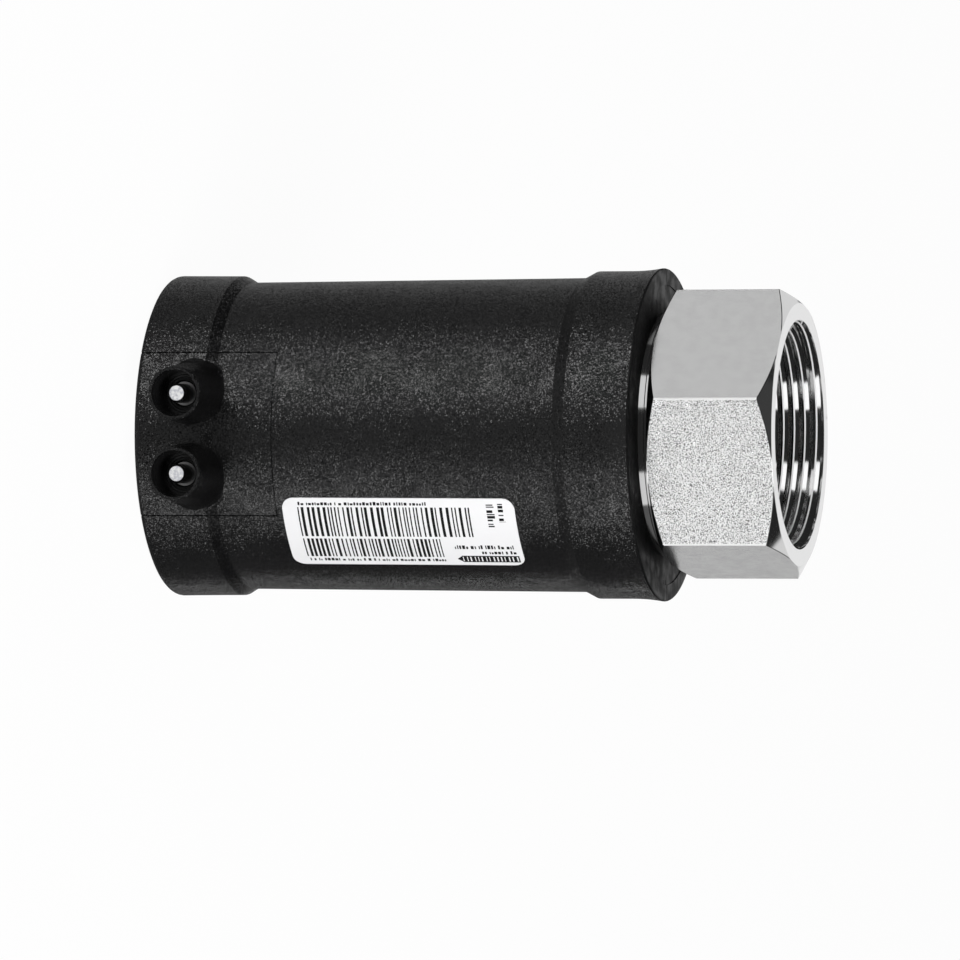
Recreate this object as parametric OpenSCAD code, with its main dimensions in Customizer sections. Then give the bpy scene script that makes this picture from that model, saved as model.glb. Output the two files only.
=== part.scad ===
// Electrofusion transition fitting: a moulded plastic body whose socket takes a plastic pipe, a wire coil
// in the socket wall that is heated through two terminals, and a metal insert with a hexagon and a female
// pipe thread. The pipe axis is Z, the open end of the socket lies on Z = 0 and the terminals point to -Y.

/* [Pipe socket] */
// Outside diameter of the plastic pipe
pipe_od = 50; // [48:0.5:54]
// Gap between the pipe and the socket wall, on the radius
pipe_gap = 0.25; // [0.1:0.05:0.4]
// Depth of the socket, from its open end to the pipe stop
socket_depth = 50; // [48:1:54]
// Thickness of the plastic wall around the socket
socket_wall = 7.4; // [6.8:0.1:9]

/* [Body] */
// Length of the plastic body
body_length = 107.05; // [104:0.05:112]
// Growth of the barrel's radius towards the thread end
barrel_draft = 0.5; // [0.2:0.1:1]
// Height of the raised band at the open end, above the barrel
band_rise = 1.48; // [1:0.02:2.5]
// Length of the raised band
band_length = 14.7; // [12:0.1:18]
// Growth of the band's radius towards the open end
band_draft = 0.12; // [0:0.02:0.4]
// Length of the ramp from the band down to the barrel
band_ramp = 2.2; // [1:0.1:4]
// Radius of the rounded outer edge at the open end
end_edge_r = 1.4; // [0.5:0.1:2.5]
// Height of the collar at the thread end, above the barrel
collar_rise = 1.4; // [0.8:0.1:2.5]
// Length of the collar
collar_length = 14.05; // [10:0.05:18]
// Length of the ramp from the barrel up to the collar
collar_ramp = 2.7; // [1.5:0.1:4]
// Height of the collar's flared lip, above the collar
lip_flare = 0.55; // [0.2:0.05:1.2]
// Length of the flared lip
lip_length = 6.5; // [4:0.5:8]
// Radius of the lip's outer edge
lip_edge_r = 0.4; // [0.2:0.1:0.8]
// Width of the raised ring around the end face
face_ring = 3.5; // [2:0.1:5]
// Height of the raised ring around the end face
face_step = 0.2; // [0.1:0.05:0.5]

/* [Mould lines] */
// Width of the mould block that forms the terminals
block_width = 34.2; // [33.5:0.1:38]
// Length of that mould block, from the open end
block_length = 29.6; // [26:0.1:30.5]
// Width of the line that a joint in the mould leaves
line_width = 0.3; // [0.2:0.05:0.5]
// Depth of that line
line_depth = 0.25; // [0.1:0.05:0.4]

/* [Terminals] */
// Distance between the two terminals
terminal_pitch = 16.8; // [16:0.1:18]
// Distance of the terminals from the open end
terminal_z = 12.2; // [11.5:0.1:13]
// Height of the terminals' rims, above the band
shroud_rise = 10.9; // [9.5:0.1:12]
// Outside diameter of a shroud at its rim
shroud_od = 11.2; // [10.8:0.1:12]
// Wall of a shroud at its rim
shroud_wall = 0.7; // [0.6:0.05:1]
// Depth of the recess in a shroud
shroud_depth = 7.9; // [7.2:0.1:8.5]
// Growth of a shroud's outside radius, from its rim to its foot
shroud_draft = 0.85; // [0.4:0.05:1.1]
// Width of the curved foot around a shroud
foot_flare = 1.7; // [1.2:0.1:2]
// Height of the curved foot
foot_height = 6; // [5:0.5:7]
// Diameter of a pin's contact end
pin_d = 4; // [3.5:0.1:4.5]
// Length of a pin's contact end
pin_length = 6; // [5:0.1:6.8]
// Chamfer at the tip of a pin
pin_chamfer = 0.3; // [0.1:0.05:0.6]
// Diameter of a pin's root in the plastic
pin_root_d = 5; // [4.8:0.1:5.6]
// Width of the flange that locks a pin's root
pin_flange = 0.8; // [0.4:0.1:1.2]
// Thickness of that flange
pin_flange_t = 1.4; // [0.8:0.1:2]
// Plastic between the coil and the foot of a pin
pin_cover = 1.15; // [1:0.05:1.5]

/* [Heating coil] */
// Diameter of the resistance wire
wire_d = 1; // [0.8:0.05:1.1]
// Clearance between the wire and the plastic on each side
wire_gap = 0.05; // [0.03:0.01:0.1]
// Turns of the coil
coil_turns = 12; // [9:1:13]
// Length of the coil, along the pipe
coil_length = 30; // [26:0.5:32]

/* [Threaded insert] */
// Major diameter of the female pipe thread
thread_major_d = 47.8; // [47:0.1:49]
// Depth of the thread
thread_depth = 1.48; // [1.3:0.02:1.6]
// Length of the threaded bore
thread_length = 23; // [20:0.5:25]
// Width of the countersink around the thread's mouth, beyond the major diameter
mouth_flare = 0.2; // [0.1:0.05:0.5]
// Diameter of the plain passage between the socket and the thread
passage_d = 41; // [38:0.5:42]
// Width of the hexagon across its flats
hex_af = 55; // [54:0.5:60]
// Length of the hexagon
hex_length = 26.7; // [25:0.1:32]
// Width of the flat ring inside the hexagon's chamfers
hex_land = 3.5; // [2.5:0.1:3.8]
// Angle of the hexagon's chamfers
hex_chamfer_angle = 30; // [20:1:40]
// Turn of the hexagon about the pipe axis
hex_turn = 17.1; // [0:0.1:60]
// Length of bare neck between the body and the hexagon
neck_length = 2; // [1.5:0.1:4]
// Width and depth of the groove turned in the neck
neck_groove = 0.3; // [0.2:0.05:0.5]
// Length of the shank inside the plastic
shank_length = 48; // [46:0.5:50]
// Wall of the shank below its anchor ribs
shank_wall = 3.5; // [2.5:0.1:4]
// Length from the shank's inner end to the first anchor rib
anchor_start = 2.5; // [1.5:0.1:3.5]
// Height of the anchor ribs, above the neck
anchor_rise = 1.9; // [1.4:0.1:2.4]
// Number of anchor ribs
anchor_ribs = 2; // [1:1:2]
// Length of an anchor rib
anchor_rib = 4.5; // [3.5:0.1:5]
// Gap between the anchor ribs
anchor_gap = 3.5; // [2.5:0.1:4]
// Number of notches that keep the insert from turning
notch_count = 12; // [6:1:16]
// Radius of a notch
notch_r = 1.3; // [0.9:0.1:1.6]

/* [Seals] */
// Wall of the shank under the seals' grooves
seal_wall = 2.1; // [1.6:0.1:2.8]
// Diameter of the seal rings' cord
seal_cord_d = 3; // [2.6:0.1:3.2]
// Clearance beside the cord in its groove
seal_side_gap = 0.3; // [0.1:0.05:0.5]
// Distance from the end face to the first seal
seal_cover = 10; // [8:0.5:12]
// Distance between the two seals
seal_pitch = 7; // [6:0.5:8]

/* [Label] */
// Length of the label, along the pipe
label_length = 50.3; // [40:0.1:54]
// Width of the label, straight across
label_width = 18.1; // [12:0.1:22]
// Radius of the label's corners
label_corner_r = 2.5; // [1:0.1:4]
// Distance of the label from the open end
label_z = 31.1; // [31:0.1:34]
// Turn of the label from the terminals, about the pipe axis
label_turn = 40; // [30:0.1:90]
// Thickness of the label
label_t = 0.12; // [0.08:0.01:0.3]

/* [Hidden] */
$fn = 96;
mould_gap = 0.03;
over = 1;
far = 100;
arc_steps = 5;

socket_r = pipe_od / 2 + pipe_gap;
barrel_r = socket_r + socket_wall;
band_r = barrel_r + band_rise;
collar_r = barrel_r + barrel_draft + collar_rise;
lip_r = collar_r + lip_flare;
face_r = lip_r - face_ring;
collar_z = body_length - collar_length;
barrel_start = band_length + band_ramp;
barrel_end = collar_z - collar_ramp;

coil_r = socket_r + wire_gap + wire_d / 2;
recess_r = coil_r + wire_d / 2 + wire_gap;
coil_start = terminal_z;
coil_end = coil_start + coil_length;
wire_hole_r = wire_d / 2 + 4 * wire_gap;
wire_sides = 6;
steps_per_turn = 28;

pin_x = terminal_pitch / 2;
rim_h = band_r + shroud_rise;
floor_h = rim_h - shroud_depth;
foot_h = band_r - band_rise;
pin_foot_h = recess_r + pin_cover;
pin_tip_h = floor_h + pin_length;
flange_h = pin_foot_h + (floor_h - pin_foot_h) / 2;
return_h = pin_foot_h - 0.6 * wire_d;

passage_r = passage_d / 2;
thread_r = thread_major_d / 2 - thread_depth;
neck_r = passage_r + seal_wall + seal_cord_d;
mouth_r = thread_major_d / 2 + mouth_flare;
shank_r = passage_r + shank_wall;
anchor_r = neck_r + anchor_rise;
hex_z = body_length + neck_length;
end_z = hex_z + hex_length;
shank_z = body_length - shank_length;
thread_z = end_z - thread_length;
anchor_z = shank_z + anchor_start;
anchor_pitch = anchor_rib + anchor_gap;
land_z = anchor_z + anchor_ribs * anchor_pitch;
seal_z = [body_length - seal_cover, body_length - seal_cover - seal_pitch];
seal_groove_r = neck_r - seal_cord_d;
seal_groove_l = seal_cord_d + 2 * seal_side_gap;

// Points of an arc about a centre, from one angle to another
function arc(centre, r, from, to) =
    [for (i = [0:arc_steps]) let (a = from + (to - from) * i / arc_steps) centre + r * [cos(a), sin(a)]];

// Radius of the barrel at a height
function barrel_radius(z) =
    barrel_r + barrel_draft * (z - barrel_start) / (barrel_end - barrel_start);

// Half section of the body's outside, drawn in by an inset
function body_outline(inset = 0) = concat(
    [[0, 0]],
    arc([band_r - inset - end_edge_r, end_edge_r], end_edge_r, -90, 0),
    [[band_r - inset - band_draft, band_length],
     [barrel_r - inset, barrel_start],
     [barrel_radius(barrel_end) - inset, barrel_end],
     [collar_r - inset, collar_z]],
    lip_outline(inset),
    [[face_r, body_length], [face_r, body_length - face_step], [0, body_length - face_step]]);

// The collar's lip, which flares along a curve and ends in a small edge
function lip_outline(inset) = concat(
    [for (i = [0:arc_steps]) let (t = i / arc_steps)
        [collar_r - inset + lip_flare * t * t, body_length - lip_edge_r - lip_length * (1 - t)]],
    arc([lip_r - inset - lip_edge_r, body_length - lip_edge_r], lip_edge_r, 90 / arc_steps, 90));

// Half section of a shroud, with a straight taper above a curved foot
function shroud_outline() =
    let (rim_r = shroud_od / 2, rim_edge = shroud_wall / 3, foot_r = rim_r + shroud_draft)
    concat(
        [[0, pin_foot_h], [foot_r + foot_flare, pin_foot_h]],
        [for (i = [0:arc_steps]) let (a = 90 * i / arc_steps)
            [foot_r + foot_flare * (1 - sin(a)), foot_h - foot_height / 2 + foot_height * (1 - cos(a))]],
        [[rim_r, rim_h - rim_edge], [rim_r - rim_edge, rim_h], [0, rim_h]]);

// Places its children at one or both terminals, with their Z along the terminal and 0 on the pipe axis
module at_terminals(sides) {
    for (side = sides)
        translate([side * pin_x, 0, terminal_z]) rotate([90, 0, 0]) children();
}

module shroud_recess() {
    rim_r = shroud_od / 2 - shroud_wall;
    rotate_extrude()
        polygon([[0, floor_h], [rim_r - shroud_wall / 2, floor_h], [rim_r, rim_h], [rim_r, rim_h + over],
                 [0, rim_h + over]]);
}

// The part of a pin that lies in the plastic, and the hole that it fills
module pin_root(grow = 0) {
    r = pin_root_d / 2 + grow;
    translate([0, 0, pin_foot_h]) cylinder(r = r, h = floor_h - pin_foot_h);
    translate([0, 0, flange_h - pin_flange_t / 2]) cylinder(r = r + pin_flange, h = pin_flange_t);
}

module terminal_pin(side) {
    at_terminals([side]) {
        pin_root();
        rotate_extrude()
            polygon([[0, floor_h - over], [pin_d / 2, floor_h - over], [pin_d / 2, pin_tip_h - pin_chamfer],
                     [pin_d / 2 - pin_chamfer, pin_tip_h], [0, pin_tip_h]]);
    }
}

// The outside of the insert's shank, as turned, or grown by the gap that its moulded seat leaves
module shank(grow = 0) {
    translate([0, 0, shank_z]) cylinder(r = shank_r + grow, h = land_z - shank_z + over);
    translate([0, 0, land_z]) cylinder(r = neck_r + grow, h = hex_z - land_z + over);
    difference() {
        for (i = [0:anchor_ribs - 1])
            translate([0, 0, anchor_z + i * anchor_pitch]) cylinder(r = anchor_r + grow, h = anchor_rib);
        for (i = [0:notch_count - 1])
            rotate(i * 360 / notch_count) translate([anchor_r, 0, shank_z])
                cylinder(r = notch_r - grow, h = shank_length, $fn = 32);
    }
}

module ring_cut(outer_r, inner_r, z, length) {
    translate([0, 0, z]) difference() {
        cylinder(r = outer_r, h = length);
        translate([0, 0, -over]) cylinder(r = inner_r, h = length + 2 * over);
    }
}

// A hexagon bar with both ends turned to a chamfer
module hexagon() {
    corner_r = hex_af / sqrt(3);
    chamfer_r = mouth_r + hex_land;
    turned_r = corner_r + over;
    chamfer_h = (turned_r - chamfer_r) * tan(hex_chamfer_angle);
    intersection() {
        cylinder(r = corner_r, h = hex_length, $fn = 6);
        rotate_extrude()
            polygon([[0, 0], [chamfer_r, 0], [turned_r, chamfer_h], [turned_r, hex_length - chamfer_h],
                     [chamfer_r, hex_length], [0, hex_length]]);
    }
}

// The plain passage, the bore that carries the thread, and the countersink at its mouth
module insert_bore() {
    seat = thread_r - passage_r;
    countersink = mouth_r - thread_r;
    translate([0, 0, shank_z - over]) cylinder(r = passage_r, h = end_z - shank_z);
    translate([0, 0, thread_z - seat]) cylinder(r1 = passage_r, r2 = thread_r, h = seat);
    translate([0, 0, thread_z]) cylinder(r = thread_r, h = thread_length + over);
    translate([0, 0, end_z - countersink])
        cylinder(r1 = thread_r, r2 = mouth_r + over, h = countersink + over);
}

// Bores for the two wire ends: straight in from each pin, and back along the wall from the coil's far end
module wire_holes() {
    for (side = [-1, 1])
        at_terminals([side]) translate([0, 0, socket_r - pin_cover * 2])
            cylinder(r = wire_hole_r, h = pin_foot_h - socket_r + pin_cover * 2 + mould_gap, $fn = 32);
    translate([-pin_x, 0, coil_end]) rotate([90, 0, 0]) translate([0, 0, socket_r - pin_cover * 2])
        cylinder(r = wire_hole_r, h = return_h - socket_r + pin_cover * 2, $fn = 32);
    translate([-pin_x, -return_h, terminal_z - wire_d])
        cylinder(r = wire_hole_r + wire_gap, h = coil_length + 2 * wire_d, $fn = 32);
}

// The fine lines that the joints of the mould leave on the outside
module mould_lines() {
    difference() {
        union() {
            for (side = [-1, 1])
                translate([side * block_width / 2 - line_width / 2, -far, -over])
                    cube([line_width, far, block_length + over]);
            translate([-block_width / 2 - line_width / 2, -far, block_length])
                cube([block_width + line_width, far, line_width]);
        }
        translate([0, 0, -2 * over]) cylinder(r = socket_r, h = far);
        rotate_extrude() polygon(body_outline(line_depth));
    }
    for (side = [0, 180])
        rotate(side) translate([face_r - over, -line_width / 2, body_length - 2 * face_step])
            cube([face_ring + 2 * over, line_width, 2 * face_step + over]);
}

// Centre line of the wire, from the foot of one pin round the coil and back to the foot of the other
function wire_line() =
    let (lead = asin(pin_x / coil_r), sweep = 360 * coil_turns - 2 * lead,
         steps = round(steps_per_turn * coil_turns))
    concat(
        [[pin_x, -pin_foot_h, terminal_z]],
        [for (i = [0:steps]) let (a = lead + sweep * i / steps)
            [coil_r * sin(a), -coil_r * cos(a), coil_start + coil_length * i / steps]],
        [[-pin_x, -return_h, coil_end], [-pin_x, -return_h, terminal_z], [-pin_x, -pin_foot_h, terminal_z]]);

function unit(v) = v / norm(v);

// Direction of a line at each of its points
function line_tangents(line) =
    let (last = len(line) - 1)
    [for (i = [0:last])
        i == 0 ? unit(line[1] - line[0])
        : i == last ? unit(line[last] - line[last - 1])
        : unit(unit(line[i] - line[i - 1]) + unit(line[i + 1] - line[i]))];

// One side direction for each point, carried along the line without twist
function carried_sides(tangents, first) =
    [for (i = 0, side = first; i < len(tangents);
          i = i + 1, side = i < len(tangents) ? unit(side - (side * tangents[i]) * tangents[i]) : side) side];

// A round wire swept along a line of points
module wire(line, r, sides) {
    tangents = line_tangents(line);
    carried = carried_sides(tangents, [0, 0, 1]);
    count = len(line);
    points = [for (i = [0:count - 1], k = [0:sides - 1])
        let (a = 360 * k / sides, across = cross(tangents[i], carried[i]))
        line[i] + r * (cos(a) * carried[i] + sin(a) * across)];
    walls = [for (i = [0:count - 2], k = [0:sides - 1])
        let (j = (k + 1) % sides) each [
            [i * sides + k, i * sides + j, (i + 1) * sides + j],
            [i * sides + k, (i + 1) * sides + j, (i + 1) * sides + k]]];
    ends = [[for (k = [sides - 1:-1:0]) k], [for (k = [0:sides - 1]) (count - 1) * sides + k]];
    polyhedron(points, [for (face = concat(walls, ends)) [for (k = [len(face) - 1:-1:0]) face[k]]]);
}

module coupler_body() {
    color([0.12, 0.12, 0.13]) difference() {
        union() {
            rotate_extrude() polygon(body_outline());
            at_terminals([-1, 1]) rotate_extrude() polygon(shroud_outline());
        }
        translate([0, 0, -over]) cylinder(r = socket_r, h = socket_depth + over);
        translate([0, 0, coil_start - 2 * wire_d]) cylinder(r = recess_r, h = coil_length + 4 * wire_d);
        translate([0, 0, socket_depth - over]) cylinder(r = passage_r, h = body_length);
        shank(mould_gap);
        at_terminals([-1, 1]) {
            shroud_recess();
            pin_root(mould_gap);
        }
        wire_holes();
        mould_lines();
    }
}

module threaded_insert() {
    color([0.8, 0.81, 0.82]) difference() {
        union() {
            shank();
            translate([0, 0, hex_z]) rotate(hex_turn) hexagon();
        }
        insert_bore();
        for (z = seal_z)
            ring_cut(anchor_r, seal_groove_r, z - seal_groove_l / 2, seal_groove_l);
        ring_cut(anchor_r, neck_r - neck_groove, hex_z - neck_length / 2 - neck_groove / 2, neck_groove);
    }
}

module heating_coil() {
    color([0.72, 0.45, 0.3]) wire(wire_line(), wire_d / 2, wire_sides);
}

module seal_ring(z) {
    color([0.2, 0.2, 0.22]) translate([0, 0, z]) rotate_extrude()
        translate([seal_groove_r + seal_cord_d / 2, 0]) circle(d = seal_cord_d - mould_gap, $fn = 48);
}

module label() {
    centre = [label_width / 2 - label_corner_r, label_length / 2 - label_corner_r];
    low_r = barrel_radius(barrel_start);
    high_r = barrel_radius(barrel_end);
    color("white") intersection() {
        rotate(label_turn) translate([0, 0, label_z + label_length / 2]) rotate([90, 0, 0])
            linear_extrude(far) polygon([for (corner = [0:3]) each
                arc([centre.x * (corner == 0 || corner == 3 ? 1 : -1), centre.y * (corner < 2 ? 1 : -1)],
                    label_corner_r, 90 * corner, 90 * corner + 90)]);
        rotate_extrude()
            polygon([[low_r + mould_gap, barrel_start], [low_r + label_t, barrel_start],
                     [high_r + label_t, barrel_end], [high_r + mould_gap, barrel_end]]);
    }
}

coupler_body();
threaded_insert();
heating_coil();
color("gold") terminal_pin(-1);  // terminal_pin_left
color("gold") terminal_pin(1);  // terminal_pin_right
seal_ring(seal_z[1]);  // seal_ring_inner
seal_ring(seal_z[0]);  // seal_ring_outer
label();
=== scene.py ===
# Looks of the electrofusion transition fitting: a black moulded socket with two shrouded terminals, and a
# bright metal insert with a hexagon and a female pipe thread. The pipe axis is Z, the socket stands on
# Z = 0, the terminals point to -Y, and the label is on the side between -Y and +X.
import math
import random

import bmesh
import bpy
from mathutils import Matrix, Vector


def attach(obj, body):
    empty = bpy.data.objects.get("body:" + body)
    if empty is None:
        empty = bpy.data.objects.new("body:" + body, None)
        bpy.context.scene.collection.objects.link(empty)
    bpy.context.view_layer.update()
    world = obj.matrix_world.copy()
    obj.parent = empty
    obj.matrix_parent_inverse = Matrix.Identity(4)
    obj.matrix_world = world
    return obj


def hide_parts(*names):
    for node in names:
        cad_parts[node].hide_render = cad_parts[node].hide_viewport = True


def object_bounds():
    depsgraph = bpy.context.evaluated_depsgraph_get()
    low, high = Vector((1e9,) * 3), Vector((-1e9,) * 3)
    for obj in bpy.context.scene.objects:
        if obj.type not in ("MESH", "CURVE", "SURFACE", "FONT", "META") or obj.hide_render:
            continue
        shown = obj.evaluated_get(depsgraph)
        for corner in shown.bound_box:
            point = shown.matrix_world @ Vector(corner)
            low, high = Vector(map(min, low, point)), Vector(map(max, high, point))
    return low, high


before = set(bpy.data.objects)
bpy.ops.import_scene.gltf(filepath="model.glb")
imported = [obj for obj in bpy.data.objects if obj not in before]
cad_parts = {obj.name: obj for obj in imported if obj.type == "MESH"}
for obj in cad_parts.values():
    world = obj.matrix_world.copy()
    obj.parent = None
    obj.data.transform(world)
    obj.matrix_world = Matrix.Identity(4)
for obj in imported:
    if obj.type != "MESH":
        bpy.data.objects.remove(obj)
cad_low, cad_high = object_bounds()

MM = 0.001

# Socket and body, in mm
SOCKET_R = 25.25
RECESS_R = 26.35
BARREL_R = 32.65
BARREL_DRAFT = 0.5
BARREL_START = 16.9
BARREL_END = 90.3
FACE_Z = 106.85

# Terminals, in mm
TERMINAL_X = 8.4
TERMINAL_Z = 12.2
CUP_R = 4.9

# Heating coil and the plastic ridge between its turns, in mm and degrees
WIRE_D = 1.0
COIL_R = 25.8
COIL_TURNS = 12
COIL_LENGTH = 30.0
PIN_FOOT_H = 27.5
RETURN_H = 26.9
STEPS_PER_TURN = 48
BED_SINK = 0.1
BED_START = 20
BED_OFFSET = 0.55
BED_SQUASH = 0.6

# Threaded insert, in mm and degrees
PASSAGE_R = 20.5
SHANK_Z = 59.05
SHANK_R = 24.0
ANCHOR_R = 27.5
ANCHOR_START = 2.5
ANCHOR_RIB = 4.5
ANCHOR_GAP = 3.5
ANCHOR_RIBS = 2
NOTCH_COUNT = 12
NOTCH_R = 1.3
NECK_R = 25.6
SEAL_GROOVE_R = 22.6
SEAL_GROOVE_L = 3.6
SEAL_Z = (90.05, 97.05)
NECK_GROOVE = 0.3
NECK_GROOVE_RISE = 0.1
NECK_TAPER = 10.0
NECK_LAP = 0.1
HEX_AF = 55.0
HEX_Z = 109.05
END_Z = 135.75
HEX_TURN = 17.1
HEX_CORNER_R = 0.5
HEX_LAND = 3.5
CHAMFER_ANGLE = 30.0
EDGE_BREAK = 0.12
SHARP_ANGLE = 6.0
CORNER_WEAR = 0.55
# The flat at this turn faces the light and gets the lighter copy of the flats' metal with painted glints.
GLINT_FLAT_TURN = 287.1

# How the insert is divided: steps and a face's shift to its middle in degrees, the reach in mm at which
# points are joined, and the row of the outline that is the hexagon's flat
EVEN_STEP = 2
CORNER_STEP = 0.15
NOTCH_STEP = 0.9
STEP_ROOM = 0.5
CORNER_SHIFT = 0.1
JOIN_REACH = 0.002
FLAT_ROW = 6

# Female pipe thread, 11 turns to the inch, in mm and degrees
PITCH = 25.4 / 11
THREAD_MINOR_R = 22.42
THREAD_MAJOR_R = 23.9
THREAD_Z = 112.75
MOUTH_R = 24.1
FLANK_ANGLE = 27.5
CREST_W = 0.30
CREST_ANGLE = 25.0
LAND_W = 0.72
LAND_ANGLE = 36.0
RUN_OUT = 2.5
MOUTH_WALL = 0.5

# Label, in mm. Each area of print has two turns in degrees from the terminals' side, then two heights in mm
LABEL_T = 0.12
PRINT_T = 0.012
PATCH_STEP = 1.5
HEADING = (25.6, 27.0, 34.6, 62.4)
UPPER_BARS = (27.8, 40.6, 34.4, 71.9)
LOWER_BARS = (41.7, 51.1, 34.4, 64.2)
FOOTING = (52.0, 53.6, 34.8, 64.3)
SIDE_LINES = ((26.5, 36.0, 75.3, 77.0), (26.2, 33.8, 77.8, 79.2))
CODE_LINES = ((44.6, 46.6, 67.0, 80.1), (47.6, 49.3, 72.6, 80.2))
ARROW_RAILS = ((50.3, 50.8, 68.0, 80.4), (53.5, 54.0, 68.0, 80.4))
ARROW_BARS = (50.8, 53.5, 68.3, 80.4)
TIP_TURN = 52.1
TIP_HALF = 1.9
TIP_START = 66.8
TIP_STEP = 0.22
TIP_STEPS = 6

# Bars, strokes and the gaps after them, in mm, the share of the area's other side that a stroke fills, and a
# stroke's units along and round the label
UPPER_WIDTHS = (0.28, 0.32, 0.55, 0.6)
UPPER_GAPS = (0.34, 0.45, 0.6, 0.75)
LOWER_WIDTHS = (0.28, 0.35, 0.55)
LOWER_GAPS = (0.34, 0.42, 0.6)
ARROW_WIDTHS = (0.5, 0.7)
ARROW_GAPS = (0.2, 0.3)
STROKE_SIZES = (0.5, 0.8, 1.2)
STROKE_GAPS = (0.4, 0.5, 1.2)
STROKE_RISES = (0.6, 1.0)
STROKE_TURNS = (0.55, 1.0)
STROKE_MM = 0.5
STROKE_DEGREES = 0.9
PRINT_SEED = 7

# Where a finish ends, in mm: the first value is outside it, the second inside
SOCKET_EDGE = (RECESS_R + 0.6, RECESS_R + 0.3)
FACE_EDGE = (FACE_Z - 0.3, FACE_Z - 0.1)
BARREL_EDGE = (BARREL_END + 3.0, BARREL_END)
CUP_EDGE = (CUP_R + 0.1, CUP_R - 0.1)
CUP_FLOOR_EDGE = (-29.0, -30.0)
# The pins' rim, where the matt end ends and the painted shade begins, and where the painted dark ring gives
# way to the darkened side.
PIN_RIM_EDGE = (1.52, 1.62)
PIN_PAINTED_SHADE_EDGE = (1.9, 1.96)

# Plastic: colours, roughness and its factors in two places, the waves' share on the end face, and the cells
# of the grain: how many there are per metre, how far they lean, and the middle of their random values
PLASTIC_DARK = (0.0020, 0.0020, 0.0021, 1)
PLASTIC_LIGHT = (0.0070, 0.0070, 0.0073, 1)
PLASTIC_ROUGHNESS = (0.14, 0.20)
BARREL_DULLER = 1.3
FACE_DULLER = 3.4
FACE_WAVES = 0.1
FACET_SCALE = 5600.0
FACET_LEAN = (0.42, 0.6)
MIDDLE = (0.5, 0.5, 0.5)

# Camera, in metres, and the photograph's frame of 960 by 960 pixels
FRAME_PX = 960
FOCAL_PX = 8498.2
SENSOR_MM = 36.0
CAMERA_AT = Vector((0.021291, -1.742622, 0.517349))
CAMERA_TARGET = Vector((0, 0, 0.067))
CAMERA_UP = Vector((-0.99993, -0.01175, 0.00179))
TARGET_PX = Vector((482.61, 435.23))

# Floor and lamp, in metres and watts
FLOOR_SIZE = 4.0
FLOOR_GAP = 0.0002
FLOOR_WHITE = 0.96
KEY_AT = Vector((0.7, -1.5, 1.4))
KEY_SIZE = 1.2
KEY_POWER = 42.0

# Studio panels by direction: strength, the side of the camera where one stands, degrees round the pipe axis
# from the camera, and degrees above the floor. The two strong strips make the plastic's grain glint in two
# bands. The others are what the smooth plastic, the hexagon, the neck and the thread mirror. Soft edges are
# in degrees, apart from the one between the two sides.
DARK_LEVEL = 0.02
SIDE_SOFT = 0.01
TURN_SOFT = 1.0
RISE_SOFT = 1.5
PANELS = (
    (0.36, "both", (-9.0, 27.0), (-62.0, -3.0)),
    (0.36, "left", (27.0, 77.0), (-62.0, -3.0)),
    (0.36, "right", (27.0, 69.0), (-62.0, -3.0)),
    (1.10, "right", (27.0, 42.0), (-26.0, -3.0)),
    (5.80, "left", (39.0, 54.0), (-34.0, -4.0)),
    (4.80, "right", (51.0, 60.0), (-50.0, -4.0)),
    (0.34, "both", (-9.0, 190.0), (-90.0, -66.0)),
    (0.62, "left", (77.0, 94.0), (-30.0, -3.0)),
    (0.10, "left", (94.0, 190.0), (-66.0, -22.0)),
    (0.12, "left", (94.0, 120.0), (-22.0, 4.0)),
    (0.28, "left", (120.0, 190.0), (-22.0, 4.0)),
    (0.09, "right", (69.0, 190.0), (-66.0, 4.0)),
    (0.47, "right", (149.0, 160.0), (-24.0, -3.0)),
    (0.68, "left", (24.0, 57.0), (-3.0, 24.0)),
    (0.68, "right", (36.0, 70.0), (-3.0, 24.0)),
    (0.72, "left", (141.0, 190.0), (30.0, 55.0)),
    (0.72, "right", (141.0, 190.0), (30.0, 40.0)),
    (0.72, "both", (150.0, 190.0), (16.0, 30.0)),
    (0.72, "both", (160.0, 190.0), (6.0, 16.0)),
    (0.72, "right", (162.0, 190.0), (0.0, 6.0)),
    (0.72, "right", (168.0, 190.0), (-12.0, 0.0)),
    (0.14, "both", (172.0, 190.0), (8.0, 18.0)),
    (1.25, "both", (40.4, 76.0), (41.0, 62.0)),
    (0.03, "both", (-9.0, 190.0), (62.0, 93.0)),
)


def grey(level):
    """A neutral colour."""
    return level, level, level, 1


def add_node(tree, kind, **values):
    """A shader node. A value goes to the socket of its name, with _ for a space, and else to the node."""
    node = tree.nodes.new(kind)
    for name, value in values.items():
        socket = node.inputs.get(name.replace("_", " "))
        if socket is None:
            setattr(node, name, value)
        elif isinstance(value, bpy.types.NodeSocket):
            tree.links.new(value, socket)
        else:
            socket.default_value = value
    return node


def calculate(tree, operation, *terms):
    """The result of a Math node whose terms are numbers or sockets."""
    node = tree.nodes.new("ShaderNodeMath")
    node.operation = operation
    for socket, term in zip(node.inputs, terms):
        if isinstance(term, bpy.types.NodeSocket):
            tree.links.new(term, socket)
        else:
            socket.default_value = term
    return node.outputs[0]


def ramp(tree, value, low, high, at_low=0.0, at_high=1.0):
    """A smooth step of a value from one level to another."""
    node = add_node(tree, "ShaderNodeMapRange", interpolation_type="SMOOTHSTEP", Value=value,
                    From_Min=low, From_Max=high, To_Min=at_low, To_Max=at_high)
    return node.outputs["Result"]


def past_edge(tree, value, edge, outside=0.0, inside=1.0):
    """A smooth step of a length across an edge, whose two values are in mm."""
    return ramp(tree, value, edge[0] * MM, edge[1] * MM, outside, inside)


def between(tree, value, low, high, soft):
    """1 where a value lies between two levels, with soft edges."""
    rise = ramp(tree, value, low - soft, low + soft)
    fall = ramp(tree, value, high - soft, high + soft, 1.0, 0.0)
    return calculate(tree, "MULTIPLY", rise, fall)


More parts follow.
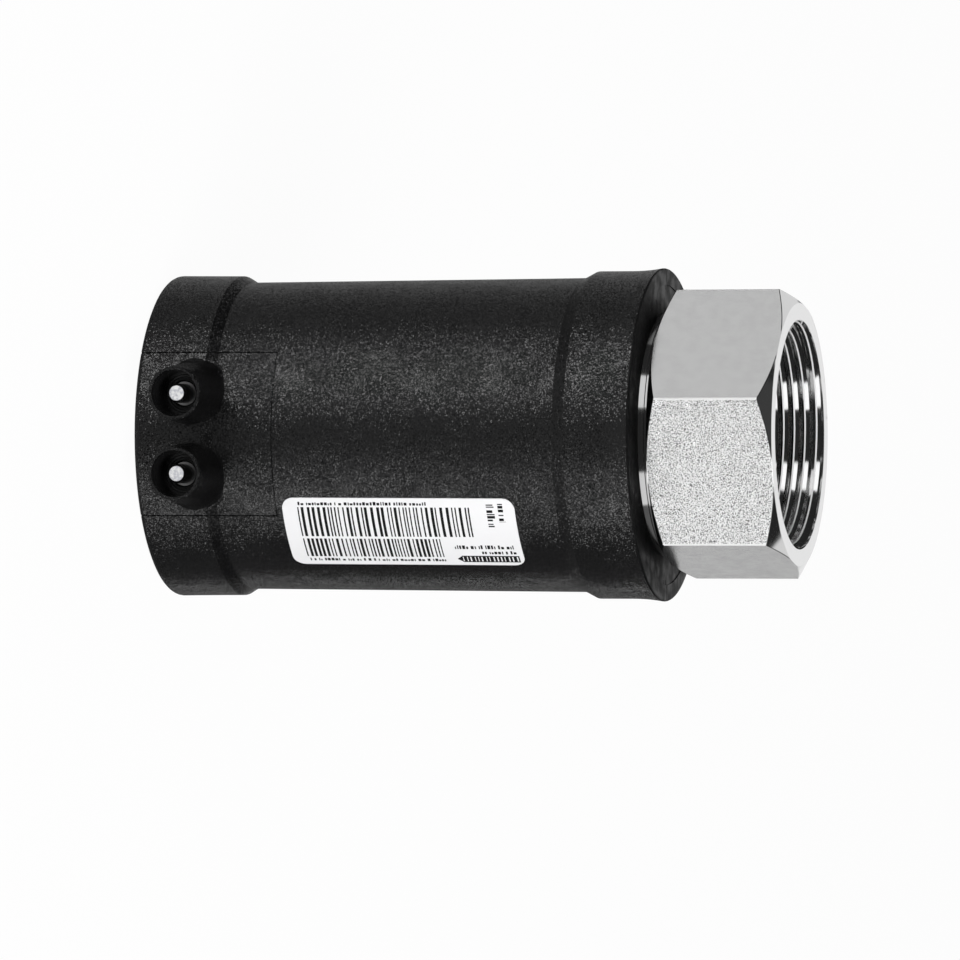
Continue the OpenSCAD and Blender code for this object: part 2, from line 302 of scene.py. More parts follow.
def blend(tree, share, first, second):
    """A colour between two, which are values or sockets."""
    node = add_node(tree, "ShaderNodeMix", data_type="RGBA", Factor=share, A=first, B=second)
    return node.outputs["Result"]


def mix_shaders(tree, share, first, second):
    """The second shader over the first, by a share."""
    node = tree.nodes.new("ShaderNodeMixShader")
    for socket, source in zip(node.inputs, (share, first, second)):
        tree.links.new(source, socket)
    return node.outputs[0]


def new_material(name, **sockets):
    """A material with one Principled shader, its tree, and that shader."""
    material = bpy.data.materials.new(name)
    material.use_nodes = True
    tree = material.node_tree
    shader = tree.nodes["Principled BSDF"]
    for key, value in sockets.items():
        shader.inputs[key.replace("_", " ")].default_value = value
    return material, tree, shader


def place(tree):
    """The position on the object, in its own frame."""
    return tree.nodes.new("ShaderNodeTexCoord").outputs["Object"]


def noise(tree, at, scale, detail=2.0, roughness=0.5):
    """Soft noise between 0 and 1, whose scale is per metre."""
    node = add_node(tree, "ShaderNodeTexNoise", Vector=at, Scale=scale, Detail=detail, Roughness=roughness)
    return node.outputs["Fac"]


def bump(tree, height, distance, normal=None):
    """A normal that follows a height, on top of another normal if there is one."""
    node = add_node(tree, "ShaderNodeBump", Height=height, Distance=distance, Strength=1.0)
    if normal is not None:
        tree.links.new(normal, node.inputs["Normal"])
    return node.outputs["Normal"]


def vector_math(tree, operation, first, second=None, **values):
    """The result of a Vector Math node."""
    node = add_node(tree, "ShaderNodeVectorMath", operation=operation, **values)
    for socket, term in zip(node.inputs, (first, second)):
        if isinstance(term, bpy.types.NodeSocket):
            tree.links.new(term, socket)
        elif term is not None:
            socket.default_value = term
    return node.outputs["Vector"]


def facets(tree, at, scale, lean, normal):
    """A normal that leans another way in each cell of a grained mould, and a random value for each cell."""
    cells = add_node(tree, "ShaderNodeTexVoronoi", Vector=at, Scale=scale)
    way = vector_math(tree, "SUBTRACT", cells.outputs["Color"], MIDDLE)
    offset = vector_math(tree, "SCALE", way, Scale=lean)
    leaned = vector_math(tree, "ADD", offset, normal)
    share = add_node(tree, "ShaderNodeSeparateXYZ", Vector=cells.outputs["Color"]).outputs[0]
    return vector_math(tree, "NORMALIZE", leaned), share


def length_of(tree, first, second):
    """The long side of a right triangle."""
    squares = [calculate(tree, "MULTIPLY", reach, reach) for reach in (first, second)]
    return calculate(tree, "SQRT", calculate(tree, "ADD", *squares))


def axis_radius(tree, at):
    """Distance from the pipe axis, and height along it."""
    x, y, z = add_node(tree, "ShaderNodeSeparateXYZ", Vector=at).outputs
    return length_of(tree, x, y), z


def pin_distance(tree, at):
    """Distance from the axis of the nearer terminal pin, and the place along Y."""
    x, y, z = add_node(tree, "ShaderNodeSeparateXYZ", Vector=at).outputs
    aside = calculate(tree, "SUBTRACT", calculate(tree, "ABSOLUTE", x), TERMINAL_X * MM)
    above = calculate(tree, "SUBTRACT", z, TERMINAL_Z * MM)
    return length_of(tree, aside, above), y


def cup_rings(tree, at, normal):
    """The rings that the mould's turned cores leave in the terminal cups, and 1 where the cups are."""
    from_pin, y = pin_distance(tree, at)
    in_cup = calculate(tree, "MULTIPLY", past_edge(tree, y, CUP_FLOOR_EDGE),
                       past_edge(tree, from_pin, CUP_EDGE))
    across = add_node(tree, "ShaderNodeCombineXYZ", X=from_pin).outputs[0]
    rings = calculate(tree, "MULTIPLY", noise(tree, across, scale=2200.0), in_cup)
    return bump(tree, rings, distance=0.0004, normal=normal), in_cup


def plastic_roughness(tree, at, height, on_face):
    """Gloss in patches, duller on the barrel and much duller on the end face around the neck."""
    patches = ramp(tree, noise(tree, at, scale=260.0, detail=3.0), 0.35, 0.65, *PLASTIC_ROUGHNESS)
    barrel = past_edge(tree, height, BARREL_EDGE, 1.0, BARREL_DULLER)
    duller = calculate(tree, "MAXIMUM", barrel, ramp(tree, on_face, 0.0, 1.0, 1.0, FACE_DULLER))
    return calculate(tree, "MULTIPLY", patches, duller)


def body_plastic():
    """Black moulded polyethylene: grained, but smooth in the socket, in the cups and on the end face."""
    material, tree, shader = new_material("black_polyethylene", Specular_IOR_Level=0.5, IOR=1.5)
    at = place(tree)
    radius, height = axis_radius(tree, at)
    in_socket = past_edge(tree, radius, SOCKET_EDGE)
    on_face = past_edge(tree, height, FACE_EDGE)
    tree.links.new(plastic_roughness(tree, at, height, on_face), shader.inputs["Roughness"])

    waviness = ramp(tree, on_face, 0.0, 1.0, 1.0, FACE_WAVES)
    waves = calculate(tree, "MULTIPLY", noise(tree, at, scale=70.0), waviness)
    wavy = bump(tree, waves, distance=0.0002)
    pits = ramp(tree, noise(tree, at, scale=700.0, detail=1.0), 0.70, 0.75, 0.0, -1.0)
    pitted = bump(tree, pits, distance=0.0001, normal=wavy)
    ringed, in_cup = cup_rings(tree, at, pitted)

    smooth = calculate(tree, "MAXIMUM", calculate(tree, "MAXIMUM", in_socket, on_face), in_cup)
    grained = calculate(tree, "SUBTRACT", 1.0, smooth)
    lean = ramp(tree, noise(tree, at, scale=120.0), 0.35, 0.6, *FACET_LEAN)
    lean = calculate(tree, "MULTIPLY", grained, lean)
    normal, share = facets(tree, at, FACET_SCALE, lean, ringed)
    tree.links.new(normal, shader.inputs["Normal"])

    # The grain's cells differ in tone at random. The terminal cups are painted lighter all over, as painted
    # light that stands in for their glints.
    cell_tone_and_painted_cup_light = calculate(tree, "MAXIMUM", calculate(tree, "MULTIPLY", grained, share), in_cup)
    shade = blend(tree, cell_tone_and_painted_cup_light, PLASTIC_DARK, PLASTIC_LIGHT)
    tree.links.new(shade, shader.inputs["Base Color"])
    return material


def metal(name, colour, roughness, spread):
    """Bright metal whose roughness varies a little in patches."""
    material, tree, shader = new_material(name, Metallic=1.0, Base_Color=colour)
    at = place(tree)
    patches = ramp(tree, noise(tree, at, scale=400.0, detail=4.0), 0.3, 0.7, roughness - spread,
                   roughness + spread)
    tree.links.new(patches, shader.inputs["Roughness"])
    return material, tree, shader, at


def insert_flats():
    """The hexagon's flats: plated over a fine grain that the blank had from its press."""
    material, tree, shader, at = metal("plated_flats", grey(0.80), roughness=0.17, spread=0.02)
    waves = bump(tree, noise(tree, at, scale=120.0), distance=0.00004)
    grain = noise(tree, at, scale=2300.0, detail=3.0, roughness=0.6)
    tree.links.new(bump(tree, grain, distance=0.00002, normal=waves), shader.inputs["Normal"])
    return material


def insert_painted_glint_flat():
    """The flat that faces the strong panels, as a lighter copy of the flats' metal with painted glints: fine
    dark speckle between light metal stands in for the sparkle that light makes on it.
    """
    material, tree, shader, at = metal("plated_flat_painted_glints", grey(0.9), roughness=0.3, spread=0.03)
    skin = noise(tree, at, scale=4500.0, roughness=0.6)
    # Painted glints: the base colour is dark speckle on light metal, on this one lit flat only.
    tone = blend(tree, ramp(tree, skin, 0.40, 0.50), grey(0.05), grey(0.97))
    tree.links.new(tone, shader.inputs["Base Color"])
    tree.links.new(bump(tree, skin, distance=0.00003), shader.inputs["Normal"])
    return material


def insert_turned():
    """Turned faces: fine rings left by the tool, which follow the radius and the height."""
    material, tree, shader, at = metal("plated_turned", grey(0.82), roughness=0.09, spread=0.02)
    radius, height = axis_radius(tree, at)
    across = add_node(tree, "ShaderNodeCombineXYZ", X=radius, Y=height).outputs[0]
    rings = noise(tree, across, scale=6000.0)
    tree.links.new(bump(tree, rings, distance=0.000004), shader.inputs["Normal"])
    return material


def insert_thread():
    """The thread's flanks, with faint chatter marks of the tap."""
    material, tree, shader, at = metal("plated_thread", grey(0.78), roughness=0.09, spread=0.02)
    chatter = noise(tree, at, scale=500.0)
    tree.links.new(bump(tree, chatter, distance=0.000006), shader.inputs["Normal"])
    return material


def insert_tips():
    """The thread's tips and the hexagon's corners, worn matt by the tap and the handling."""
    material, tree, shader, at = metal("worn_tips", grey(0.95), roughness=0.5, spread=0.05)
    shader.inputs["Metallic"].default_value = 0.3
    wear = noise(tree, at, scale=3000.0)
    tree.links.new(bump(tree, wear, distance=0.000004), shader.inputs["Normal"])
    return material


def pin_metal():
    """Tin-plated pins: a matt light end, then painted shade: a dark ring at the edge and a darkened metal
    side.
    """
    material, tree, shader, at = metal("tinned_pin", (0.93, 0.93, 0.92, 1), roughness=0.36, spread=0.06)
    from_middle, _ = pin_distance(tree, at)
    metallic = past_edge(tree, from_middle, PIN_RIM_EDGE, 0.12, 1.0)
    tree.links.new(metallic, shader.inputs["Metallic"])
    patches = ramp(tree, noise(tree, at, scale=1500.0), 0.35, 0.65)
    end = blend(tree, patches, (0.55, 0.56, 0.60, 1), grey(0.86))
    # Painted shade: the edge ring is near black and the side is darkened, though the pin is bright metal all
    # round.
    side = blend(tree, past_edge(tree, from_middle, PIN_PAINTED_SHADE_EDGE), grey(0.06), grey(0.38))
    tone = blend(tree, past_edge(tree, from_middle, PIN_RIM_EDGE), end, side)
    tree.links.new(tone, shader.inputs["Base Color"])
    grain = noise(tree, at, scale=3000.0, detail=3.0)
    tree.links.new(bump(tree, grain, distance=0.00001), shader.inputs["Normal"])
    return material


def coil_wire():
    """Bare resistance wire, drawn to a fine grain."""
    material, tree, shader, at = metal("resistance_wire", (0.80, 0.48, 0.30, 1), roughness=0.24, spread=0.06)
    grain = noise(tree, at, scale=5000.0)
    tree.links.new(bump(tree, grain, distance=0.000006), shader.inputs["Normal"])
    return material


def seal_rubber():
    """Black rubber with a fine skin."""
    material, tree, shader = new_material("seal_rubber", Base_Color=grey(0.02), Roughness=0.6)
    skin = noise(tree, place(tree), scale=3000.0)
    tree.links.new(bump(tree, skin, distance=0.00002), shader.inputs["Normal"])
    return material


def label_film():
    """White film with a soft gloss, which follows the grain under it a little."""
    material, tree, shader = new_material("label_film", Specular_IOR_Level=0.4)
    at = place(tree)
    patches = noise(tree, at, scale=150.0, detail=3.0)
    tone = blend(tree, patches, (0.83, 0.83, 0.84, 1), (0.87, 0.87, 0.88, 1))
    tree.links.new(tone, shader.inputs["Base Color"])
    gloss = ramp(tree, noise(tree, at, scale=500.0), 0.3, 0.7, 0.38, 0.5)
    tree.links.new(gloss, shader.inputs["Roughness"])
    tree.links.new(bump(tree, noise(tree, at, scale=1200.0), distance=0.00001), shader.inputs["Normal"])
    return material


def label_ink():
    """Black print, matt and a little uneven."""
    material, tree, shader = new_material("label_ink", Roughness=0.6, Specular_IOR_Level=0.15)
    tone = blend(tree, noise(tree, place(tree), scale=2500.0), grey(0.004), grey(0.014))
    tree.links.new(tone, shader.inputs["Base Color"])
    return material


def dress(node_name, material):
    """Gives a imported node's object its material."""
    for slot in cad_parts[node_name].material_slots:
        slot.link = "OBJECT"
        slot.material = material


def new_piece(name, mesh_builder, materials, replaced=None):
    """An object from a bmesh, which rides on the part's only body."""
    mesh = bpy.data.meshes.new(name)
    mesh_builder.to_mesh(mesh)
    mesh_builder.free()
    piece = bpy.data.objects.new(name, mesh)
    bpy.context.scene.collection.objects.link(piece)
    for material in materials:
        mesh.materials.append(material)
    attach(piece, "root")
    if replaced:
        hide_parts(replaced)
    return piece


def polar(radius, turn, height):
    """A point from its distance to the axis, its turn in degrees from +X, and its height, all in mm."""
    angle = math.radians(turn)
    return Vector((radius * math.cos(angle), radius * math.sin(angle), height)) * MM


def from_corner(turn):
    """Degrees between a direction and the hexagon's nearest corner."""
    return abs((turn - HEX_TURN + 30) % 60 - 30)


def hexagon_radius(turn):
    """Distance from the axis to the hexagon's side, whose corners are rounded."""
    inset = (HEX_AF / 2 - HEX_CORNER_R) / math.cos(math.radians(30))
    reach = math.atan2(HEX_CORNER_R / 2, inset + HEX_CORNER_R * math.cos(math.radians(30)))
    angle = math.radians(from_corner(turn))
    if angle < reach:
        return inset * math.cos(angle) + math.sqrt(HEX_CORNER_R ** 2 - (inset * math.sin(angle)) ** 2)
    return HEX_AF / 2 / math.cos(math.radians(30) - angle)


def rib_radius(turn):
    """Radius of an anchor rib, less where a notch cuts it."""
    step = 360 / NOTCH_COUNT
    angle = math.radians((turn + step / 2) % step - step / 2)
    room = NOTCH_R ** 2 - (ANCHOR_R * math.sin(angle)) ** 2
    if room <= 0:
        return ANCHOR_R
    return min(ANCHOR_R, ANCHOR_R * math.cos(angle) - math.sqrt(room))


def column_turns():
    """The directions in which the insert's outline is worked out, closer together at corners and notches."""
    special = []
    for corner in range(6):
        special += [HEX_TURN + 60 * corner + step * CORNER_STEP for step in range(-4, 5)]
    for notch in range(NOTCH_COUNT):
        special += [360 / NOTCH_COUNT * notch + step * NOTCH_STEP for step in range(-3, 4)]
    special = sorted(turn % 360 for turn in special)
    even = [turn for turn in range(0, 360, EVEN_STEP)
            if min(abs((turn - other + 180) % 360 - 180) for other in special) > STEP_ROOM]
    return sorted(special + even)


def eased(points, reach):
    """A line of points whose inner corners are each replaced by three points of a small round."""
    line = [points[0]]
    for before, corner, after in zip(points, points[1:], points[2:]):
        start = corner + (before - corner).normalized() * min(reach, (before - corner).length / 3)
        end = corner + (after - corner).normalized() * min(reach, (after - corner).length / 3)
        line += [start, (start + end + 2 * corner) / 4, end]
    return line + [points[-1]]


def shank_line(turn):
    """The insert's outside within the plastic, from its inner end to the hexagon."""
    line = [(PASSAGE_R, SHANK_Z), (SHANK_R, SHANK_Z)]
    for rib in range(ANCHOR_RIBS):
        low = SHANK_Z + ANCHOR_START + rib * (ANCHOR_RIB + ANCHOR_GAP)
        radius = rib_radius(turn)
        line += [(SHANK_R, low), (radius, low), (radius, low + ANCHOR_RIB), (SHANK_R, low + ANCHOR_RIB)]
    land = SHANK_Z + ANCHOR_START + ANCHOR_RIBS * (ANCHOR_RIB + ANCHOR_GAP)
    line += [(SHANK_R, land), (NECK_R, land)]
    for middle in SEAL_Z:
        low = middle - SEAL_GROOVE_L / 2
        high = middle + SEAL_GROOVE_L / 2
        line += [(NECK_R, low), (SEAL_GROOVE_R, low), (SEAL_GROOVE_R, high), (NECK_R, high)]
    return [Vector(point) for point in line]


def neck_line():
    """The bare neck: two lands that each taper a little towards the hexagon, and a turned groove between."""
    middle = (FACE_Z + HEX_Z) / 2 + NECK_GROOVE_RISE
    half = NECK_GROOVE / 2
    fall = math.tan(math.radians(NECK_TAPER))
    low_end = NECK_R - fall * (middle - half - FACE_Z)
    high_end = NECK_R - fall * (HEX_Z - middle - half)
    floor = low_end - NECK_GROOVE / 2
    return [Vector(point) for point in (
        (NECK_R, FACE_Z), (low_end, middle - half), (floor, middle - half),
        (floor, middle + half), (NECK_R, middle + half), (high_end, HEX_Z))]


def hexagon_line(turn):
    """The hexagon from its lower face, up a flat between two chamfers, to the thread's mouth."""
    side_r = hexagon_radius(turn)
    chamfer_r = min(MOUTH_R + HEX_LAND, side_r)
    rise = (side_r - chamfer_r) * math.tan(math.radians(CHAMFER_ANGLE))
    return [Vector(point) for point in (
        (NECK_R - NECK_LAP, HEX_Z), (chamfer_r, HEX_Z), (side_r, HEX_Z + rise),
        (side_r, END_Z - rise), (chamfer_r, END_Z), (MOUTH_R, END_Z))]


def thread_line():
    """One turn of the thread as heights and depths: a worn tip, its eased land, and the two flanks."""
    full = THREAD_MAJOR_R - THREAD_MINOR_R
    slope = 1 / math.tan(math.radians(FLANK_ANGLE))
    tip_depth = CREST_W * math.tan(math.radians(CREST_ANGLE))
    land_end = CREST_W + LAND_W
    land_depth = tip_depth + LAND_W * math.tan(math.radians(LAND_ANGLE))
    return ((0, 0), (CREST_W, tip_depth), (land_end, land_depth),
            (land_end + (full - land_depth) / slope, full), (PITCH - full / slope, full), (PITCH, 0))


def thread_depth(phase):
    """Depth of the thread's surface below its inner tips, at a height within one turn."""
    line = thread_line()
    for (low, depth), (high, next_depth) in zip(line, line[1:]):
        if phase % PITCH <= high:
            return depth + (next_depth - depth) * (phase % PITCH - low) / (high - low)
    return 0.0


def bore_radius(turn, height):
    """Radius of the threaded bore, with the countersink at its mouth and the run-out at its inner end."""
    phase = height - THREAD_Z - PITCH * turn / 360
    run_out = min(1, (height - THREAD_Z) / RUN_OUT)
    threaded = THREAD_MINOR_R + thread_depth(phase) * math.sqrt(run_out)
    below_wall = max(0, END_Z - MOUTH_WALL - height)
    return max(threaded, MOUTH_R - below_wall * math.tan(math.radians(LAND_ANGLE)))


def add_rings(build, turns, lines, kind_of):
    """Faces between neighbouring lines of points, one line for each direction, all the way round."""
    columns = [[build.verts.new(polar(point.x, turn, point.y)) for point in line]
               for turn, line in zip(turns, lines)]
    for turn, here, there in zip(turns, columns, columns[1:] + columns[:1]):
        for row in range(len(here) - 1):
            face = build.faces.new((here[row], there[row], there[row + 1], here[row + 1]))
            face.material_index = kind_of(turn, row)


def add_thread(build, turns, flank_kind, tip_kind):
    """The threaded bore, whose rows of points climb one pitch in each turn."""
    phases = [height for height, _ in thread_line()[:-1]]
    per_turn = len(phases)
    kinds = [tip_kind] + [flank_kind] * (per_turn - 1)
    whole = math.ceil((END_Z - THREAD_Z) / PITCH) + 2
    columns = []
    for turn in turns:
        column = []
        for row in range(whole * per_turn + 1):
            height = (row // per_turn - 1) * PITCH + phases[row % per_turn] + PITCH * turn / 360 + THREAD_Z
            height = min(max(height, THREAD_Z), END_Z)
            column.append(build.verts.new(polar(bore_radius(turn, height), turn, height)))
        columns.append(column)
    for here, there in zip(columns, columns[1:]):
        for row in range(len(here) - 1):
            face = build.faces.new((here[row], here[row + 1], there[row + 1], there[row]))
            face.material_index = kinds[row % per_turn]
    last = columns[-1]
    first = columns[0]
    for row in range(len(last) - 1 - per_turn):
        face = build.faces.new((last[row], last[row + 1], first[row + 1 + per_turn], first[row + per_turn]))
        face.material_index = kinds[row % per_turn]


def mark_sharp(build, angle, flat_kinds):
    """Smooth faces with sharp edges between them. The flats are plain."""
    for face in build.faces:
        face.smooth = face.material_index not in flat_kinds
    for edge in build.edges:
        edge.smooth = edge.calc_face_angle(0) < math.radians(angle)


def threaded_insert(turned, flats, thread, tips, grained):
    """The metal insert, closed all round: shank, neck, hexagon and threaded bore."""
    turned_kind, flat_kind, thread_kind, tip_kind, glint_flat_kind = range(5)
    build = bmesh.new()
    turns = column_turns()
    head = [eased(hexagon_line(turn), EDGE_BREAK) for turn in turns]
    neck = neck_line()
    lines = [shank_line(turn) + neck + line for turn, line in zip(turns, head)]
    before_head = len(lines[0]) - len(head[0])

    def kind_of(turn, row):
        if row != before_head + FLAT_ROW:
            return turned_kind
        if from_corner(turn + CORNER_SHIFT) < CORNER_WEAR:
            return tip_kind
        # The flat that faces the light gets the metal with painted glints.
        return glint_flat_kind if abs(turn - GLINT_FLAT_TURN) < 30 else flat_kind

    add_rings(build, turns, lines, kind_of)
    add_thread(build, turns, thread_kind, tip_kind)
    seat = THREAD_MINOR_R - PASSAGE_R
    inside = [Vector((THREAD_MINOR_R, THREAD_Z)), Vector((PASSAGE_R, THREAD_Z - seat)),
              Vector((PASSAGE_R, SHANK_Z))]
    add_rings(build, turns, [inside] * len(turns), lambda turn, row: turned_kind)
    bmesh.ops.remove_doubles(build, verts=build.verts, dist=JOIN_REACH * MM)
    bmesh.ops.recalc_face_normals(build, faces=build.faces)
    mark_sharp(build, SHARP_ANGLE, (flat_kind, glint_flat_kind))
    return new_piece("threaded_insert_looks", build, [turned, flats, thread, tips, grained],
                     "threaded_insert")


def add_tube(build, points, radius, sides, squash=1.0):
    """A closed tube along points. With a squash, it is thinner sideways than it is outwards."""
    rings = []
    for index, point in enumerate(points):
        before = points[max(index - 1, 0)]
        after = points[min(index + 1, len(points) - 1)]
        along = (after - before).normalized()
        outward = Vector((point.x, point.y, 0)).normalized()
        runs_outward = abs(outward.dot(along)) > 0.9
        if runs_outward:
            outward = Vector((0, 0, 1))
        across = along.cross(outward).normalized()
        outward = across.cross(along)
        rings.append([build.verts.new(point + radius * (
            math.cos(2 * math.pi * side / sides) * across * squash
            + math.sin(2 * math.pi * side / sides) * outward)) for side in range(sides)])
    for here, there in zip(rings, rings[1:]):
        for side in range(sides):
            follow = (side + 1) % sides
            build.faces.new((here[side], here[follow], there[follow], there[side]))
    build.faces.new(rings[0])
    build.faces.new(rings[-1])
    bmesh.ops.recalc_face_normals(build, faces=build.faces)
    for face in build.faces:
        face.smooth = True


def coil_point(turn, radius, height):
    """A point on the socket wall, from its turn in degrees from -Y towards +X."""
    return polar(radius, turn - 90, height)


def heating_coil(material):
    """The wire: in from the right pin, round the socket wall, and back behind the wall to the left pin."""
    lead = math.degrees(math.asin(TERMINAL_X / COIL_R))
    sweep = 360 * COIL_TURNS - 2 * lead
    steps = STEPS_PER_TURN * COIL_TURNS
    points = [Vector((TERMINAL_X, -PIN_FOOT_H, TERMINAL_Z)) * MM]
    for step in range(steps + 1):
        share = step / steps
        points.append(coil_point(lead + sweep * share, COIL_R, TERMINAL_Z + COIL_LENGTH * share))
    for height, rise in ((RETURN_H, COIL_LENGTH), (RETURN_H, 0), (PIN_FOOT_H, 0)):
        points.append(Vector((-TERMINAL_X, -height, TERMINAL_Z + rise)) * MM)
    build = bmesh.new()
    add_tube(build, points, WIRE_D / 2 * MM, sides=12)
    return new_piece("heating_coil_wire", build, [material], "heating_coil")


def coil_bed(material):
    """The low plastic ridge that the mould leaves between the coil's turns."""
    pitch = COIL_LENGTH / COIL_TURNS
    height = RECESS_R - SOCKET_R - BED_SINK
    points = []
    for step in range(STEPS_PER_TURN * (COIL_TURNS - 1)):
        turns = step / STEPS_PER_TURN
        rise = TERMINAL_Z + pitch * (BED_OFFSET + turns)
        points.append(coil_point(BED_START + 360 * turns, RECESS_R - BED_SINK, rise))
    build = bmesh.new()
    add_tube(build, points, height * MM, sides=10, squash=BED_SQUASH)
    return new_piece("coil_bed", build, [material])


def label_radius(height):
    """Radius of the label's outside, which follows the barrel's draft."""
    share = (height - BARREL_START) / (BARREL_END - BARREL_START)
    return BARREL_R + BARREL_DRAFT * share + LABEL_T


def add_patch(build, turn_low, turn_high, low, high):
    """A thin closed patch of ink on the label, between two turns and two heights."""
    steps = max(1, round((turn_high - turn_low) / PATCH_STEP))
    sections = []
    for step in range(steps + 1):
        turn = turn_low + (turn_high - turn_low) * step / steps
        corners = ((low, -PRINT_T), (high, -PRINT_T), (high, PRINT_T), (low, PRINT_T))
        sections.append([build.verts.new(coil_point(turn, label_radius(z) + proud, z))
                         for z, proud in corners])
    for here, there in zip(sections, sections[1:]):
        for side in range(4):
            follow = (side + 1) % 4
            build.faces.new((here[side], here[follow], there[follow], there[side]))
    build.faces.new(sections[0])
    build.faces.new(sections[-1])


def add_bars(build, draw, area, widths, gaps):
    """A row of plain bars of mixed widths."""
    turn_low, turn_high, low, high = area
    z = low
    while z < high:
        width = draw.choice(widths)
        add_patch(build, turn_low, turn_high, z, min(z + width, high))
        z += width + draw.choice(gaps)


def add_strokes(build, draw, area, across=False):
    """A row of small strokes in the place of a line of print. With across, it runs round the label."""
    turn_low, turn_high, low, high = area
    at, stop = (turn_low, turn_high) if across else (low, high)
    unit = STROKE_DEGREES if across else STROKE_MM
    while at < stop:
        size = unit * draw.choice(STROKE_SIZES)
        end = min(at + size, stop)
        if across:
            reach = draw.uniform(*STROKE_RISES) * (high - low)
            add_patch(build, at, end, low, low + reach)
        else:
            reach = draw.uniform(*STROKE_TURNS) * (turn_high - turn_low)
            add_patch(build, turn_high - reach, turn_high, at, end)
        at = end + unit * draw.choice(STROKE_GAPS)


def label_print(material):
    """Generic print: two rows of bars, rows of strokes, and an arrow of dark strokes."""
    draw = random.Random(PRINT_SEED)
    build = bmesh.new()
    add_strokes(build, draw, HEADING)
    add_bars(build, draw, UPPER_BARS, UPPER_WIDTHS, UPPER_GAPS)
    add_bars(build, draw, LOWER_BARS, LOWER_WIDTHS, LOWER_GAPS)
    add_strokes(build, draw, FOOTING)
    for area in SIDE_LINES:
        add_strokes(build, draw, area, across=True)
    for area in CODE_LINES:
        add_strokes(build, draw, area)
    for area in ARROW_RAILS:
        add_patch(build, *area)
    add_bars(build, draw, ARROW_BARS, ARROW_WIDTHS, ARROW_GAPS)
    for step in range(TIP_STEPS):
        half = TIP_HALF * step / TIP_STEPS
        start = TIP_START + TIP_STEP * step
        add_patch(build, TIP_TURN - half, TIP_TURN + half, start, start + TIP_STEP)
    bmesh.ops.recalc_face_normals(build, faces=build.faces)
    return new_piece("label_print", build, [material])


def make_camera():
    """The photograph's view. The part stands on its socket, so the camera is rolled a quarter turn."""
    data = bpy.data.cameras.new("camera")
    data.sensor_width = SENSOR_MM
    data.lens = FOCAL_PX / FRAME_PX * SENSOR_MM
    data.shift_x = (FRAME_PX / 2 - TARGET_PX.x) / FRAME_PX
    data.shift_y = (TARGET_PX.y - FRAME_PX / 2) / FRAME_PX
    camera = bpy.data.objects.new("camera", data)
    back = (CAMERA_AT - CAMERA_TARGET).normalized()
    right = CAMERA_UP.cross(back).normalized()
    up = back.cross(right)
    turn = Matrix((right, up, back)).transposed()
    camera.matrix_world = Matrix.Translation(CAMERA_AT) @ turn.to_4x4()
    bpy.context.scene.collection.objects.link(camera)
    bpy.context.scene.camera = camera


def floor_paint():
    """Matt white to the light, and nearly white to the camera, so that only the part's soft shadow shows."""
    material, tree, shader = new_material("floor_white", Base_Color=grey(0.9), Roughness=0.9,
                                          Specular_IOR_Level=0.0)
    seen = tree.nodes.new("ShaderNodeLightPath").outputs["Is Camera Ray"]
    share = calculate(tree, "MULTIPLY", seen, FLOOR_WHITE)
    glow = add_node(tree, "ShaderNodeEmission", Strength=1.0)
    paint = mix_shaders(tree, share, shader.outputs[0], glow.outputs[0])
    tree.links.new(paint, tree.nodes["Material Output"].inputs["Surface"])
    return material


def make_floor():
    """A plain white floor, which polished faces don't mirror."""
    build = bmesh.new()
    bmesh.ops.create_grid(build, x_segments=4, y_segments=4, size=FLOOR_SIZE)
    mesh = bpy.data.meshes.new("floor")
    build.to_mesh(mesh)
    build.free()
    floor = bpy.data.objects.new("floor", mesh)
    floor.location.z = cad_low.z - FLOOR_GAP
    floor.visible_glossy = False
    bpy.context.scene.collection.objects.link(floor)
    mesh.materials.append(floor_paint())


def make_key():
    """A soft lamp in front and above. Polished faces show the studio's panels in its place."""
    data = bpy.data.lights.new("key", "AREA")
    data.shape = "SQUARE"
    data.size = KEY_SIZE
    data.energy = KEY_POWER
    key = bpy.data.objects.new("key", data)
    key.location = KEY_AT
    key.rotation_euler = KEY_AT.to_track_quat("Z", "Y").to_euler()
    key.visible_glossy = False
    bpy.context.scene.collection.objects.link(key)


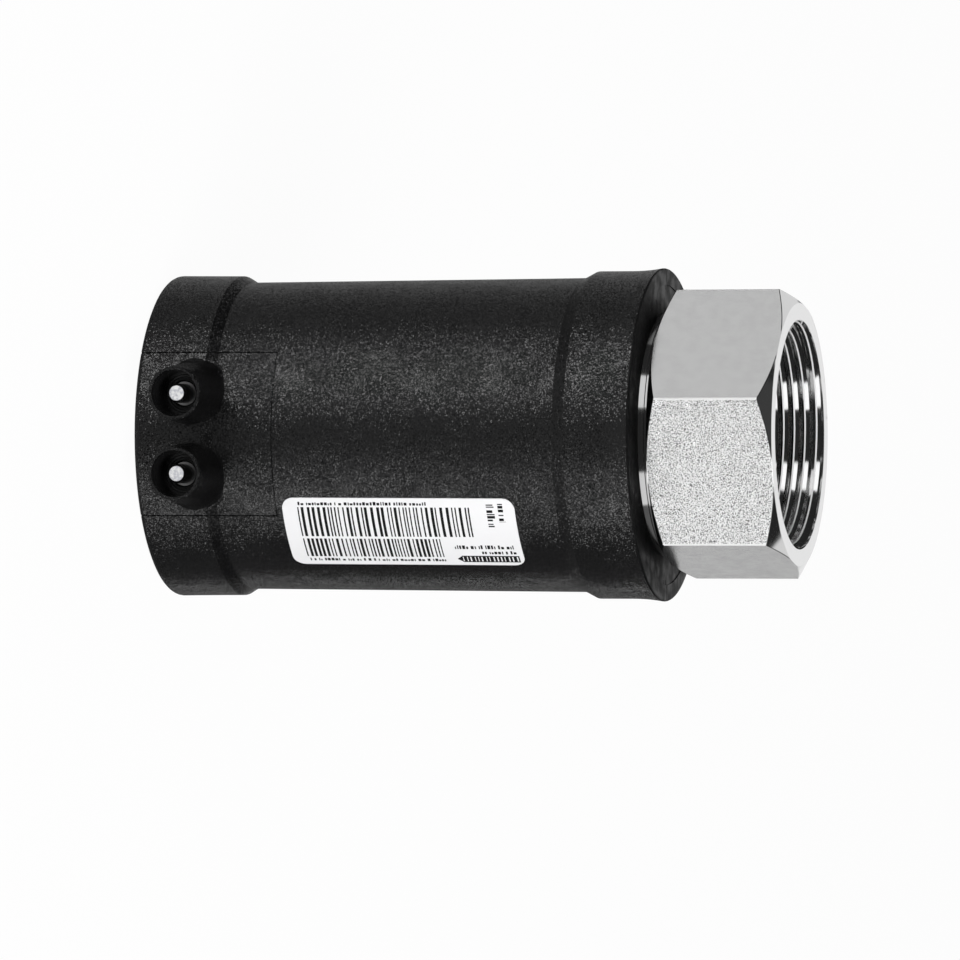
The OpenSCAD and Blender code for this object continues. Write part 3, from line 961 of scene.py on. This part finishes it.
def panel_light(tree):
    """The studio's light from each direction: soft panels in the dark."""
    way = tree.nodes.new("ShaderNodeTexCoord").outputs["Generated"]
    x, y, z = add_node(tree, "ShaderNodeSeparateXYZ", Vector=way).outputs
    right = ramp(tree, x, -SIDE_SOFT, SIDE_SOFT)
    sides = {"both": 1.0, "right": right, "left": calculate(tree, "SUBTRACT", 1.0, right)}
    aside = calculate(tree, "ABSOLUTE", x)
    ahead = calculate(tree, "MULTIPLY", y, -1.0)
    turn = calculate(tree, "DEGREES", calculate(tree, "ARCTAN2", aside, ahead))
    rise = calculate(tree, "DEGREES", calculate(tree, "ARCSINE", z))
    level = DARK_LEVEL
    for strength, side, turns, rises in PANELS:
        across = between(tree, turn, *turns, TURN_SOFT)
        along = between(tree, rise, *rises, RISE_SOFT)
        shown = calculate(tree, "MULTIPLY", calculate(tree, "MULTIPLY", across, along), sides[side])
        level = calculate(tree, "ADD", calculate(tree, "MULTIPLY", shown, strength), level)
    return level


def make_world():
    """White to the camera, and a studio of panels to the part."""
    world = bpy.data.worlds.new("studio")
    bpy.context.scene.world = world
    world.use_nodes = True
    tree = world.node_tree
    tree.nodes.clear()
    seen = tree.nodes.new("ShaderNodeLightPath").outputs["Is Camera Ray"]
    light = add_node(tree, "ShaderNodeBackground", Color=grey(1.0), Strength=panel_light(tree))
    white = add_node(tree, "ShaderNodeBackground", Color=grey(1.0), Strength=1.0)
    output = tree.nodes.new("ShaderNodeOutputWorld")
    tree.links.new(mix_shaders(tree, seen, light.outputs[0], white.outputs[0]), output.inputs["Surface"])


def make_pieces():
    """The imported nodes' materials, and the pieces that the frame has in plainer form or lacks."""
    plastic = body_plastic()
    pins = pin_metal()
    rubber = seal_rubber()
    dress("coupler_body", plastic)
    dress("terminal_pin_left", pins)
    dress("terminal_pin_right", pins)
    dress("seal_ring_inner", rubber)
    dress("seal_ring_outer", rubber)
    dress("label", label_film())
    threaded_insert(insert_turned(), insert_flats(), insert_thread(), insert_tips(), insert_painted_glint_flat())
    heating_coil(coil_wire())
    coil_bed(plastic)
    label_print(label_ink())


make_camera()
make_floor()
make_world()
make_key()
bpy.context.scene.view_settings.view_transform = "Standard"
make_pieces()
